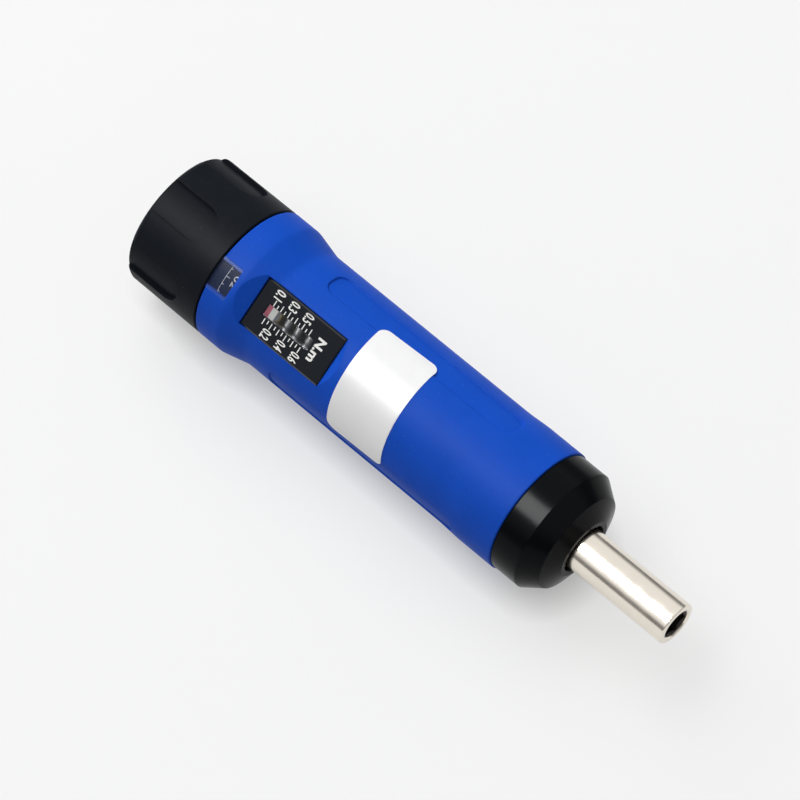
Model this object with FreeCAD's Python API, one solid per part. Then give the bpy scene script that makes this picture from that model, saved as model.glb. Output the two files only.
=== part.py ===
import FreeCAD, Part
import math
import os

# Preset torque screwdriver, 0.1 to 0.6 N.m, millimetres.
# The tool stands on the flat end of its adjusting knob: +Z runs along the axis to the bit holder's mouth,
# and the origin is the centre of the knob's end face. The torque scale faces -Y. Azimuths are measured
# about Z from -Y towards +X.
#
# Turning the knob drives the lead screw, which pulls the spring nut along the slotted tube. The nut
# squeezes the main spring against the clutch plate. The plate's balls sit in the grooves of the cam on the
# spindle and jump out of them when the torque at the bit passes the setting.

# ---------------------------------------------------------------- driving dimensions

# adjusting knob
KNOB_REAR_R = 17.8
KNOB_FRONT_R = 17.88
KNOB_LENGTH = 22.5
KNOB_CHAMFER = 1.0
KNOB_GROOVES = 6
KNOB_GROOVE_WIDTH = 9.4
KNOB_GROOVE_DEPTH = 1.1
KNOB_GROOVE_END = 16.5
KNOB_GROOVE_AZIMUTH = -20.5
KNOB_WEB = (7.0, 13.0)
KNOB_SPIGOT_R = 14.4
KNOB_BORE_R = 13.35
KNOB_RECESS_R = 8.0
KNOB_RECESS_DEPTH = 2.4
SCREW_WELL_R = 6.5
END_CAP = (0.6, 2.4)
END_CAP_STEP = (1.2, 0.6)
KNOB_SCREW_R = 2.0
KNOB_SCREW_FRONT = 19.5
KNOB_SCREW_HEAD = (3.4, 6.2)
KNOB_SCREW_HEAD_R = 3.5
KNOB_SCREW_SOCKET = (3.0, 1.9)
LOCK_WASHER_R = 3.7
LOCK_WASHER_SPLIT = 0.6

# fine scale drum behind the lens in the collar
DRUM_R = 16.4
DRUM_FRONT = 29.4

# grip housing
COLLAR_REAR = 22.9
COLLAR_R = 17.9
COLLAR_FRONT = 29.9
COLLAR_BORE_R = 16.75
COLLAR_BORE_END = 30.9
WAIST = 37.2
GRIP_R = 16.1
FLARE = (99.0, 104.0)
FLARE_R = 16.4
GRIP_FRONT = 115.0

# finger flutes along the grip, one at each sixth of a turn apart from the scale's own
FLUTES = 6
FLUTE = (45.0, 102.5)
FLUTE_WIDTH = 7.3
FLUTE_CORNER = 2.4
FLUTE_DEPTH = 0.4
FLUTE_DRAFT = 0.45

# scale plate, its pocket and the ramps at its two ends
PLATE = (34.2, 58.6)
PLATE_WIDTH = 13.0
PLATE_FACE = 15.3
PLATE_THICKNESS = 1.2
PLATE_BEVEL = 0.35
POCKET_GAP = 0.15
REAR_RAMP_TOP = 30.2
FRONT_RAMP_FOOT = 14.8
FRONT_RAMP_TOP = 61.1

# window in the plate, over the slot in the tube
WINDOW = (37.5, 52.0)
WINDOW_WIDTH = 3.2
WINDOW_FLANGE = 0.8
WINDOW_FLANGE_THICKNESS = 0.7
WINDOW_INSET = 0.3

# lens in the collar
LENS_FRONT = 28.4
LENS_HALF_ANGLE = 12.6
LENS_BEVEL = 0.7

# blank label wrapped round the grip
LABEL = (61.4, 78.4)
LABEL_HALF_ANGLE = 56.0
LABEL_THICKNESS = 0.12
LABEL_CORNER = 2.2

# slotted inner tube
TUBE = (14.5, 121.5)
TUBE_R = 13.0
TUBE_BORE_R = 10.6
BUSH_SEAT_R = 11.0
BUSH_SEAT = 113.2
O_RING_WIRE_R = 0.8
O_RING_R = 12.5
O_RING_Z = 17.8

# lead screw, its bearing and the spring nut: one turn of the knob is 0.05 N.m
LEAD = 1.125
SETTING_TURNS = 10.6
SETTING_TRAVEL = LEAD * SETTING_TURNS
REAR_PLUG_FRONT = 22.0
SPANNER_HOLE_R = 0.9
SPANNER_HOLE_REACH = 7.5
SPANNER_HOLE_DEPTH = 2.4
JOURNAL_R = 4.5
RUNNING_GAP = 0.05
THRUST_COLLAR = (23.0, 25.5)
THRUST_COLLAR_R = 8.0
LEAD_SCREW_R = 4.0
LEAD_SCREW_FRONT = 57.0
LEAD_SCREW_POINT = 0.7
TANG = 6.2
TANG_REAR = 9.5
NUT = (30.6, 40.2)
NUT_R = 10.5
NUT_PILOT = 3.0
PIN_R = 1.5
PIN_Z = 34.0
PIN_ROOT = 5.4
PIN_REACH = 12.6
PIN_SLOT_GAP = 0.1

# setting pointer in the nut: it travels in the tube's front slot and shows through the window
POINTER = (35.4, 39.9)
POINTER_WIDTH = 3.4
POINTER_ROOT = 8.0
POINTER_FACE = 13.1
POINTER_GAP = 0.2
POINTER_END_GAP = 0.3

# main spring
WIRE_R = 1.0
SPRING_MEAN_R = 8.9
SPRING_PITCH = 3.5
SPRING_COILS = 9.1
SPRING_PILOT_R = 7.5

# ball clutch
PLATE_SEAT = NUT[1] + SPRING_PITCH * SPRING_COILS
CAM_REAR = PLATE_SEAT + 5.0
BALLS = 3
CAM_GROOVES = 12
BALL_R = 1.5
BALL_CIRCLE_R = 7.4
BALL_GAP = 0.02
BALL_ENTRY = 0.58
PLATE_GAP = 0.45
CLUTCH_PLATE_R = 10.2
DOG_WIDTH = 3.0
DOG_REACH = 12.5
DOG_GAP = 0.1
DOG_STEP = 0.8
CLUTCH_LIFT = 0.6

# spindle and bit holder
PILOT_R = 4.0
PILOT_REAR = PLATE_SEAT - 7.0
SPINDLE_R = 5.0
CAM_R = 9.6
CAM_DISC_FRONT = CAM_REAR + 4.0
CAM_HUB_R = 7.4
CAM_HUB_FRONT = CAM_DISC_FRONT + 3.0
CAM_PIN_R = 1.0
CAM_PIN_INSET = 0.4
GROOVE_ROOT_R = 5.6
FRONT_WASHER_R = 9.0
FRONT_WASHER_FRONT = CAM_HUB_FRONT + 1.0
SPINDLE_BUSH_FRONT = FRONT_WASHER_FRONT + 6.0
SPACER_WALL = 1.8
SHOULDER = 119.2
HOLDER_R = 5.5
HOLDER_FRONT = 157.3
HOLDER_COLLAR = (124.5, 128.2)
HOLDER_COLLAR_R = 5.95
HOLDER_EDGE = 0.55
HEX_FLATS = 6.4
HEX_DEPTH = 14.0
MOUTH_R = 4.1
MAGNET_R = 3.0
MAGNET_LENGTH = 3.4
CLIP_Z = 153.4
CLIP_WIRE_R = 0.45
CLIP_RING_R = 3.5
CLIP_GROOVE_R = 4.1
CLIP_OPENING = 50.0
CLIP_GAP = 0.1

# nose cap
NOSE_R = 16.05
NOSE_BAND = 122.4
NOSE_EDGE = (12.85, 127.0)
NOSE_FACE_R = 7.65
NOSE_FRONT = 129.1
NOSE_HOLE_R = 6.4
NOSE_CHAMFER = 0.25
NOSE_RECESS = 2.5
CIRCLIP = (119.2, 120.4)
CIRCLIP_GROOVE_R = 11.6
CIRCLIP_INNER_R = 9.7
CIRCLIP_OPENING = 3.2
EYELET = (2.9, 9.2)
EYELET_R = 1.3
EYELET_HOLE_R = 0.6

FAR = 60.0
ORIGIN = FreeCAD.Vector(0, 0, 0)
UP = FreeCAD.Vector(0, 0, 1)


# ---------------------------------------------------------------- helpers

def at(r, z):
    """A point of the section plane, r from the axis at height z."""
    return FreeCAD.Vector(r, 0, z)


def rounded(corners):
    """A closed wire through (point, size) corners: a size above 0 rounds the corner, one below 0 chamfers it."""
    stops = []
    count = len(corners)
    for i, (point, radius) in enumerate(corners):
        if not radius:
            stops.append((point, None, point))
            continue
        back = (corners[i - 1][0] - point).normalize()
        ahead = (corners[(i + 1) % count][0] - point).normalize()
        if radius < 0:
            stops.append((point - back * radius, None, point - ahead * radius))
            continue
        half = back.getAngle(ahead) / 2
        reach = radius / math.tan(half)
        centre = point + (back + ahead).normalize() * (radius / math.sin(half))
        middle = centre + (point - centre).normalize() * radius
        stops.append((point + back * reach, middle, point + ahead * reach))
    edges = []
    for i, (start, middle, end) in enumerate(stops):
        if middle is not None:
            edges.append(Part.Arc(start, middle, end).toShape())
        elif start.distanceToPoint(end) > 1e-6:
            edges.append(Part.LineSegment(start, end).toShape())
        following = stops[(i + 1) % count][0]
        if end.distanceToPoint(following) > 1e-6:
            edges.append(Part.LineSegment(end, following).toShape())
    return Part.Wire(edges)


def turned(*corners):
    """The solid turned from a section given as (r, z) or (r, z, corner size) points."""
    wire = rounded([(at(c[0], c[1]), c[2] if len(c) > 2 else 0) for c in corners])
    return Part.Face(wire).revolve(ORIGIN, UP, 360)


def ring(inner, outer, low, high):
    return turned((inner, low), (outer, low), (outer, high), (inner, high))


def disc(radius, low, high):
    return Part.makeCylinder(radius, high - low, at(0, low))


def block(x, y, z):
    """A box from three (low, high) pairs."""
    corner = FreeCAD.Vector(x[0], y[0], z[0])
    return Part.makeBox(x[1] - x[0], y[1] - y[0], z[1] - z[0], corner)


def to_azimuth(shape, degrees):
    """Turns a shape made at -Y about the axis to the azimuth given."""
    moved = shape.copy()
    moved.rotate(ORIGIN, UP, degrees)
    return moved


def plan(half_width, low, high, corner, depth):
    """A rounded rectangle in the plane y = -depth, seen from the front."""
    points = [(-half_width, low), (half_width, low), (half_width, high), (-half_width, high)]
    return rounded([(FreeCAD.Vector(x, -depth, z), corner) for x, z in points])


def side_prism(points, half_width):
    """A prism across X whose section is given as (distance in front of the axis, z) points."""
    corners = [FreeCAD.Vector(-half_width, -d, z) for d, z in points]
    face = Part.Face(Part.makePolygon(corners + corners[:1]))
    return face.extrude(FreeCAD.Vector(2 * half_width, 0, 0))


def hexagon(flats, low, high):
    """A hexagonal prism with two corners on the X axis."""
    corner_r = flats / math.sqrt(3)
    turns = [math.radians(60 * k) for k in range(7)]
    points = [FreeCAD.Vector(corner_r * math.cos(t), corner_r * math.sin(t), low) for t in turns]
    return Part.Face(Part.makePolygon(points)).extrude(UP * (high - low))


def save(name, shape):
    """Writes one sub-part as parts/NAME.step."""
    if not shape.isValid() or not shape.Solids:
        raise RuntimeError(name + " is not a valid solid")
    shape.exportStep("parts/" + name + ".step")
    print(name, "solids", len(shape.Solids), "volume", round(shape.Volume, 2))


# ---------------------------------------------------------------- grip and scale

def flute_cutter():
    """A shallow drafted recess whose floor follows the grip's own curve."""
    floor_r = GRIP_R - FLUTE_DEPTH
    outlines = []
    for depth, grow in ((floor_r - 1.0, -FLUTE_DRAFT), (FLARE_R + 1.0, 2 * FLUTE_DRAFT)):
        half = FLUTE_WIDTH / 2 + grow
        outlines.append(plan(half, FLUTE[0] - grow, FLUTE[1] + grow, FLUTE_CORNER + grow, depth))
    return Part.makeLoft(outlines, True).cut(disc(floor_r, 0, FAR * 2))


def lens_block(outer_r):
    """A curved plate under the collar's surface whose two long sides and front end are bevelled."""
    shell = ring(COLLAR_BORE_R, outer_r, COLLAR_REAR, LENS_FRONT + LENS_BEVEL)
    outlines = []
    for depth, grow in ((COLLAR_BORE_R - 3.0, 0.0), (COLLAR_BORE_R, 0.0), (COLLAR_R, LENS_BEVEL)):
        half = COLLAR_R * math.sin(math.radians(LENS_HALF_ANGLE)) + grow
        outlines.append(plan(half, COLLAR_REAR - 5.0, LENS_FRONT + grow, 0, depth))
    straight = Part.makeLoft(outlines[:2], True, True)
    flared = Part.makeLoft(outlines[1:], True, True)
    return shell.common(straight.fuse(flared))


def grip_housing():
    body = turned(
        (COLLAR_BORE_R, COLLAR_REAR),
        (COLLAR_R, COLLAR_REAR, -0.3),
        (COLLAR_R, COLLAR_FRONT, 5.0),
        (GRIP_R, WAIST, 7.0),
        (GRIP_R, FLARE[0], 40.0),
        (FLARE_R, FLARE[1], 40.0),
        (FLARE_R, GRIP_FRONT, -0.2),
        (TUBE_R, GRIP_FRONT),
        (TUBE_R, COLLAR_BORE_END),
        (COLLAR_BORE_R, COLLAR_BORE_END),
    )
    for k in range(1, FLUTES):
        body = body.cut(to_azimuth(flute_cutter(), 360 / FLUTES * k))

    floor = PLATE_FACE - PLATE_THICKNESS
    half = PLATE_WIDTH / 2 + POCKET_GAP
    rear, front = PLATE[0] - POCKET_GAP, PLATE[1] + POCKET_GAP
    pocket = block((-half, half), (-FAR, -floor), (rear, front))
    rear_slope = (rear - REAR_RAMP_TOP) / (COLLAR_R - PLATE_FACE)
    rear_ramp = side_prism(
        [(PLATE_FACE, rear), (FAR, rear), (FAR, rear - rear_slope * (FAR - PLATE_FACE))], half)
    front_slope = (FRONT_RAMP_TOP - front) / (GRIP_R - FRONT_RAMP_FOOT)
    front_ramp = side_prism(
        [(FRONT_RAMP_FOOT, front), (FAR, front),
         (FAR, front + front_slope * (FAR - FRONT_RAMP_FOOT))], half)
    body = body.cut(pocket).cut(rear_ramp).cut(front_ramp)

    flange = WINDOW_WIDTH / 2 + WINDOW_FLANGE
    sight = block((-flange, flange), (-FAR, 0), (POINTER[0] - POINTER_END_GAP, WINDOW[1] + WINDOW_FLANGE))
    return body.cut(sight).cut(lens_block(COLLAR_R + 1.0))


def fine_scale_lens():
    return lens_block(COLLAR_R)


def scale_plate():
    half = PLATE_WIDTH / 2
    back = PLATE_FACE - PLATE_THICKNESS
    plate = block((-half, half), (-PLATE_FACE, -back), PLATE)
    rim = [e for e in plate.Edges
           if all(abs(v.Y + PLATE_FACE) < 1e-6 for v in e.Vertexes)]
    plate = plate.makeChamfer(PLATE_BEVEL, rim)
    slot = block((-WINDOW_WIDTH / 2, WINDOW_WIDTH / 2), (-FAR, 0), WINDOW)
    return plate.cut(slot)


def scale_window():
    """The clear insert: a tongue that fills the plate's slot and a flange behind the plate."""
    back = PLATE_FACE - PLATE_THICKNESS
    tongue = block((-WINDOW_WIDTH / 2, WINDOW_WIDTH / 2), (-PLATE_FACE + WINDOW_INSET, -back), WINDOW)
    half = WINDOW_WIDTH / 2 + WINDOW_FLANGE
    flange = block((-half, half), (-back, -back + WINDOW_FLANGE_THICKNESS),
                   (WINDOW[0] - WINDOW_FLANGE, WINDOW[1] + WINDOW_FLANGE))
    return tongue.fuse(flange).removeSplitter()


def label_corner_waste(side, end):
    """What is cut from one corner of the label: a square less the corner's quarter disc."""
    waste_x = sorted((0, side * 2 * LABEL_CORNER))
    waste_z = sorted((0, end * 2 * LABEL_CORNER))
    waste = block(waste_x, (-FAR, 0), waste_z)
    waste = waste.cut(Part.makeCylinder(LABEL_CORNER, FAR, ORIGIN, FreeCAD.Vector(0, -1, 0)))
    edge_z = LABEL[1] if end > 0 else LABEL[0]
    waste.translate(at(0, edge_z - end * LABEL_CORNER))
    return to_azimuth(waste, side * (LABEL_HALF_ANGLE - math.degrees(LABEL_CORNER / GRIP_R)))


def blank_label():
    """A thin sticker with rounded corners, bent round the grip."""
    outer = GRIP_R + LABEL_THICKNESS
    section = Part.makePolygon([at(GRIP_R, LABEL[0]), at(outer, LABEL[0]), at(outer, LABEL[1]),
                                at(GRIP_R, LABEL[1]), at(GRIP_R, LABEL[0])])
    sheet = Part.Face(section).revolve(ORIGIN, UP, 2 * LABEL_HALF_ANGLE)
    sheet = to_azimuth(sheet, -90 - LABEL_HALF_ANGLE)
    for side in (-1, 1):
        for end in (-1, 1):
            sheet = sheet.cut(label_corner_waste(side, end))
    return sheet


# ---------------------------------------------------------------- tube and its bearings

def inner_tube():
    tube = turned(
        (TUBE_BORE_R, TUBE[0]), (TUBE_R, TUBE[0], -0.3), (TUBE_R, TUBE[1], -0.3),
        (BUSH_SEAT_R, TUBE[1]), (BUSH_SEAT_R, BUSH_SEAT), (TUBE_BORE_R, BUSH_SEAT))
    tube = tube.cut(ring(TUBE_BORE_R, CIRCLIP_GROOVE_R, *CIRCLIP))
    tube = tube.cut(ring(O_RING_R - O_RING_WIRE_R, FAR, O_RING_Z - O_RING_WIRE_R, O_RING_Z + O_RING_WIRE_R))
    half = POINTER_WIDTH / 2 + POINTER_GAP
    sight = block((-half, half), (-FAR, 0),
                  (POINTER[0] - POINTER_END_GAP, POINTER[1] + SETTING_TRAVEL + POINTER_END_GAP))
    guide_half = PIN_R + PIN_SLOT_GAP
    guide = block((-guide_half, guide_half), (0, FAR),
                  (PIN_Z - guide_half, PIN_Z + SETTING_TRAVEL + guide_half))
    dog_half = DOG_WIDTH / 2 + DOG_GAP
    dog_slots = block((-FAR, FAR), (-dog_half, dog_half),
                      (PLATE_SEAT - CLUTCH_LIFT - DOG_GAP, CAM_REAR))
    return tube.cut(sight).cut(guide).cut(dog_slots)


def knob_o_ring():
    """A rubber ring whose round section is drawn with eight sides."""
    turns = [math.radians(22.5 + 45 * k) for k in range(8)]
    reach = O_RING_WIRE_R / math.cos(math.radians(22.5))
    return turned(*[(O_RING_R + reach * math.cos(t), O_RING_Z + reach * math.sin(t)) for t in turns])


def rear_plug():
    """Screwed into the tube's rear end, it carries the lead screw's journal; two holes take a pin spanner."""
    plug = ring(JOURNAL_R + RUNNING_GAP, TUBE_BORE_R, TUBE[0], REAR_PLUG_FRONT)
    for side in (-1, 1):
        hole = Part.makeCylinder(SPANNER_HOLE_R, SPANNER_HOLE_DEPTH,
                                 FreeCAD.Vector(side * SPANNER_HOLE_REACH, 0, TUBE[0]))
        plug = plug.cut(hole)
    return plug


def rear_thrust_washer():
    return ring(JOURNAL_R + RUNNING_GAP, THRUST_COLLAR_R, REAR_PLUG_FRONT, THRUST_COLLAR[0])


def front_thrust_washer():
    return ring(SPINDLE_R + RUNNING_GAP, FRONT_WASHER_R, CAM_HUB_FRONT, FRONT_WASHER_FRONT)


def spindle_bush():
    return ring(SPINDLE_R + RUNNING_GAP, TUBE_BORE_R, FRONT_WASHER_FRONT, SPINDLE_BUSH_FRONT)


def spacer_sleeve():
    return ring(TUBE_BORE_R - SPACER_WALL, TUBE_BORE_R, SPINDLE_BUSH_FRONT, BUSH_SEAT)


def front_bush():
    return turned(
        (SPINDLE_R + RUNNING_GAP, BUSH_SEAT), (BUSH_SEAT_R, BUSH_SEAT),
        (BUSH_SEAT_R, CIRCLIP[0]), (SPINDLE_R + RUNNING_GAP, CIRCLIP[0]))


def bush_circlip():
    """An internal retaining ring with an opening between two eyelets."""
    low, high = CIRCLIP
    clip = ring(CIRCLIP_INNER_R, CIRCLIP_GROOVE_R, low, high)
    clip = clip.cut(block((-CIRCLIP_OPENING / 2, CIRCLIP_OPENING / 2), (0, FAR), (low, high)))
    for side in (-1, 1):
        centre = FreeCAD.Vector(side * EYELET[0], EYELET[1], low)
        clip = clip.fuse(Part.makeCylinder(EYELET_R, high - low, centre))
        clip = clip.cut(Part.makeCylinder(EYELET_HOLE_R, high - low, centre))
    return clip.removeSplitter()


def nose_cap():
    """Turned nose: a cylindrical band, two cones and a flat face round the spindle's hole."""
    return turned(
        (TUBE_R, GRIP_FRONT),
        (NOSE_R - NOSE_CHAMFER, GRIP_FRONT),
        (NOSE_R, GRIP_FRONT + NOSE_CHAMFER),
        (NOSE_R, NOSE_BAND),
        (NOSE_EDGE[0], NOSE_EDGE[1]),
        (NOSE_FACE_R, NOSE_FRONT),
        (NOSE_HOLE_R, NOSE_FRONT, -0.15),
        (NOSE_HOLE_R, TUBE[1] + NOSE_RECESS),
        (CIRCLIP_INNER_R, TUBE[1] + NOSE_RECESS),
        (CIRCLIP_INNER_R, TUBE[1]),
        (TUBE_R, TUBE[1]),
    )


# ---------------------------------------------------------------- knob and lead screw

def adjusting_knob():
    knob = turned(
        (KNOB_RECESS_R, 0, -0.3), (KNOB_REAR_R - KNOB_CHAMFER, 0, -0.35),
        (KNOB_REAR_R, KNOB_CHAMFER, -0.35), (KNOB_FRONT_R, KNOB_LENGTH, -0.25),
        (KNOB_SPIGOT_R, KNOB_LENGTH), (KNOB_SPIGOT_R, DRUM_FRONT),
        (KNOB_BORE_R, DRUM_FRONT), (KNOB_BORE_R, KNOB_WEB[1]),
        (KNOB_SCREW_R + RUNNING_GAP, KNOB_WEB[1]), (KNOB_SCREW_R + RUNNING_GAP, KNOB_WEB[0]),
        (SCREW_WELL_R, KNOB_WEB[0]), (SCREW_WELL_R, KNOB_RECESS_DEPTH),
        (KNOB_RECESS_R, KNOB_RECESS_DEPTH),
    )
    half = KNOB_GROOVE_WIDTH / 2
    floor_r = KNOB_FRONT_R - KNOB_GROOVE_DEPTH
    centre = KNOB_GROOVE_END - half
    groove = block((-half, half), (-FAR, 0), (-1.0, centre))
    front_end = Part.makeCylinder(half, FAR, at(0, centre), FreeCAD.Vector(0, -1, 0))
    groove = groove.fuse(front_end).cut(disc(floor_r, -1.0, KNOB_LENGTH))
    for k in range(KNOB_GROOVES):
        knob = knob.cut(to_azimuth(groove, KNOB_GROOVE_AZIMUTH + 360 / KNOB_GROOVES * k))
    return knob.cut(tang())


def tang():
    """The square drive between the lead screw and the knob's web."""
    half = TANG / 2
    return block((-half, half), (-half, half), (TANG_REAR, KNOB_WEB[1]))


def knob_screw():
    head = turned((0, KNOB_SCREW_HEAD[0]), (KNOB_SCREW_HEAD_R, KNOB_SCREW_HEAD[0], -0.4),
                  (KNOB_SCREW_HEAD_R, KNOB_SCREW_HEAD[1]), (0, KNOB_SCREW_HEAD[1]))
    shank = disc(KNOB_SCREW_R, KNOB_SCREW_HEAD[1], KNOB_SCREW_FRONT)
    flats, depth = KNOB_SCREW_SOCKET
    socket = hexagon(flats, KNOB_SCREW_HEAD[0], KNOB_SCREW_HEAD[0] + depth)
    return head.fuse(shank).cut(socket).removeSplitter()


def knob_lock_washer():
    """A split washer under the screw's head."""
    low, high = KNOB_SCREW_HEAD[1], KNOB_WEB[0]
    half = LOCK_WASHER_SPLIT / 2
    return ring(KNOB_SCREW_R + RUNNING_GAP, LOCK_WASHER_R, low, high).cut(
        block((-half, half), (0, FAR), (low, high)))


def knob_end_cap():
    """A shallow disc with a stepped rim that closes the screw's well."""
    step_r, step_z = END_CAP_STEP
    return turned((0, END_CAP[0]), (KNOB_RECESS_R - step_r, END_CAP[0]), (KNOB_RECESS_R, END_CAP[0] + step_z),
                  (KNOB_RECESS_R, END_CAP[1]), (0, END_CAP[1]))


def lead_screw():
    """Square tang, journal, thrust collar and the threaded length, shown at its outer diameter."""
    screw = turned(
        (0, KNOB_WEB[1]), (JOURNAL_R, KNOB_WEB[1]), (JOURNAL_R, THRUST_COLLAR[0]),
        (THRUST_COLLAR_R, THRUST_COLLAR[0]), (THRUST_COLLAR_R, THRUST_COLLAR[1]),
        (LEAD_SCREW_R, THRUST_COLLAR[1]), (LEAD_SCREW_R, LEAD_SCREW_FRONT, -LEAD_SCREW_POINT),
        (0, LEAD_SCREW_FRONT))
    tapped = disc(KNOB_SCREW_R, TANG_REAR, KNOB_SCREW_FRONT + 1.0)
    return screw.fuse(tang()).cut(tapped)


def fine_scale_drum():
    return turned(
        (KNOB_SPIGOT_R, KNOB_LENGTH), (DRUM_R, KNOB_LENGTH), (DRUM_R, DRUM_FRONT, -0.3),
        (KNOB_SPIGOT_R, DRUM_FRONT))


# ---------------------------------------------------------------- nut, pointer and spring

def guide_pin():
    """Pressed into the nut, it slides in the tube's rear slot and stops the nut from turning."""
    return Part.makeCylinder(PIN_R, PIN_REACH - PIN_ROOT, FreeCAD.Vector(0, PIN_ROOT, PIN_Z),
                             FreeCAD.Vector(0, 1, 0))


def setting_pointer():
    """A block pressed into the nut, whose front edge is read against the plate's marks."""
    half = POINTER_WIDTH / 2
    return block((-half, half), (-POINTER_FACE, -POINTER_ROOT), POINTER)


def spring_nut():
    nut = turned(
        (LEAD_SCREW_R + RUNNING_GAP, NUT[0]), (NUT_R, NUT[0], -0.3), (NUT_R, NUT[1], -0.2),
        (SPRING_PILOT_R, NUT[1]), (SPRING_PILOT_R, NUT[1] + NUT_PILOT, -0.4),
        (LEAD_SCREW_R + RUNNING_GAP, NUT[1] + NUT_PILOT))
    return nut.cut(guide_pin()).cut(setting_pointer())


def main_spring():
    """A compression spring with both ends ground flat; its round wire is drawn with six sides."""
    low, high = NUT[1], PLATE_SEAT
    overrun = SPRING_PITCH * 0.25
    start = low - overrun + WIRE_R
    helix = Part.makeHelix(SPRING_PITCH, high - low + 2 * overrun - 2 * WIRE_R, SPRING_MEAN_R)
    helix.translate(at(0, start))
    turns = [math.radians(60 * k) for k in range(7)]
    section = Part.makePolygon([
        at(SPRING_MEAN_R + WIRE_R * math.cos(t), start + WIRE_R * math.sin(t)) for t in turns])
    coil = Part.Wire(helix.Edges).makePipeShell([section], True, True)
    return coil.common(disc(FAR, low, high))


# ---------------------------------------------------------------- clutch

def ball_centre_z():
    """Height of the balls' centres when they sit in the cam's grooves."""
    return CAM_REAR + BALL_ENTRY - BALL_R


def ball_circle(shape, count):
    """Copies of a shape made on the axis, evenly spaced round the clutch's ball circle."""
    copies = []
    for k in range(count):
        copy = shape.copy()
        copy.translate(at(BALL_CIRCLE_R, 0))
        copy.rotate(ORIGIN, UP, 360 * k / count)
        copies.append(copy)
    return copies


def clutch_plate():
    """Ball carrier: it slides on the spindle's pilot, and two dogs in the tube's slots stop it from turning."""
    front = CAM_REAR - PLATE_GAP
    bore = PILOT_R + RUNNING_GAP
    plate = turned(
        (bore, PLATE_SEAT - NUT_PILOT), (SPRING_PILOT_R, PLATE_SEAT - NUT_PILOT, -0.4),
        (SPRING_PILOT_R, PLATE_SEAT), (CLUTCH_PLATE_R, PLATE_SEAT),
        (CLUTCH_PLATE_R, front, -0.3), (bore, front))
    half = DOG_WIDTH / 2
    dogs = block((-DOG_REACH, DOG_REACH), (-half, half), (PLATE_SEAT, front - DOG_STEP))
    plate = plate.fuse(dogs.cut(disc(BALL_CIRCLE_R, PLATE_SEAT, front)))
    seat = disc(BALL_R + BALL_GAP, ball_centre_z() - BALL_R, FAR * 2)
    for hole in ball_circle(seat, BALLS):
        plate = plate.cut(hole)
    return plate.removeSplitter()


def clutch_balls():
    return Part.makeCompound(ball_circle(Part.makeSphere(BALL_R, at(0, ball_centre_z())), BALLS))


def drive_cam():
    """The slipping half of the clutch: a hubbed disc with twelve radial V grooves in its rear face."""
    cam = turned(
        (SPINDLE_R, CAM_REAR), (CAM_R, CAM_REAR, -0.3), (CAM_R, CAM_DISC_FRONT, -0.3),
        (CAM_HUB_R, CAM_DISC_FRONT), (CAM_HUB_R, CAM_HUB_FRONT), (SPINDLE_R, CAM_HUB_FRONT))
    apex = ball_centre_z() + (BALL_R + BALL_GAP) * math.sqrt(2)
    depth = apex - CAM_REAR
    corners = [FreeCAD.Vector(GROOVE_ROOT_R, y, z)
               for y, z in ((-depth, CAM_REAR), (depth, CAM_REAR), (0, apex), (-depth, CAM_REAR))]
    groove = Part.Face(Part.makePolygon(corners)).extrude(FreeCAD.Vector(CAM_R, 0, 0))
    for k in range(CAM_GROOVES):
        cam = cam.cut(to_azimuth(groove, 360 / CAM_GROOVES * k))
    return cam.cut(cam_pin())


def cam_pin():
    """The cross pin that joins the cam's hub to the spindle."""
    centre_z = (CAM_DISC_FRONT + CAM_HUB_FRONT) / 2
    reach = CAM_HUB_R - CAM_PIN_INSET
    return Part.makeCylinder(CAM_PIN_R, 2 * reach, FreeCAD.Vector(-reach, 0, centre_z),
                             FreeCAD.Vector(1, 0, 0))


# ---------------------------------------------------------------- spindle

def bit_holder():
    """Spindle and hexagon bit socket in one piece."""
    hex_floor = HOLDER_FRONT - HEX_DEPTH
    holder = turned(
        (0, PILOT_REAR), (PILOT_R, PILOT_REAR, -0.5), (PILOT_R, CAM_REAR), (SPINDLE_R, CAM_REAR),
        (SPINDLE_R, SHOULDER), (HOLDER_R, SHOULDER), (HOLDER_R, HOLDER_COLLAR[0]),
        (HOLDER_COLLAR_R, HOLDER_COLLAR[0] + 0.3), (HOLDER_COLLAR_R, HOLDER_COLLAR[1] - 0.2),
        (HOLDER_R, HOLDER_COLLAR[1]), (HOLDER_R, HOLDER_FRONT, HOLDER_EDGE),
        (MOUTH_R, HOLDER_FRONT), (0, HOLDER_FRONT - MOUTH_R))
    socket = hexagon(HEX_FLATS, hex_floor, HOLDER_FRONT)
    magnet_seat = disc(MAGNET_R, hex_floor - MAGNET_LENGTH, hex_floor)
    half = CLIP_WIRE_R + CLIP_GAP
    groove = ring(CLIP_RING_R - half, CLIP_GROOVE_R, CLIP_Z - half, CLIP_Z + half)
    return holder.cut(socket).cut(magnet_seat).cut(groove).cut(cam_pin())


def bit_magnet():
    hex_floor = HOLDER_FRONT - HEX_DEPTH
    return turned((0, hex_floor - MAGNET_LENGTH), (MAGNET_R, hex_floor - MAGNET_LENGTH),
                  (MAGNET_R, hex_floor - 0.2, -0.25), (0, hex_floor - 0.2))


def bit_clip():
    """The open wire ring that grips a bit's notches; its wire is drawn with four sides."""
    wire = turned(
        (CLIP_RING_R - CLIP_WIRE_R, CLIP_Z), (CLIP_RING_R, CLIP_Z - CLIP_WIRE_R),
        (CLIP_RING_R + CLIP_WIRE_R, CLIP_Z), (CLIP_RING_R, CLIP_Z + CLIP_WIRE_R))
    half = CLIP_RING_R * math.sin(math.radians(CLIP_OPENING / 2))
    return wire.cut(block((-half, half), (0, FAR), (CLIP_Z - 1.0, CLIP_Z + 1.0)))


# ---------------------------------------------------------------- write the sub-parts

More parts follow.
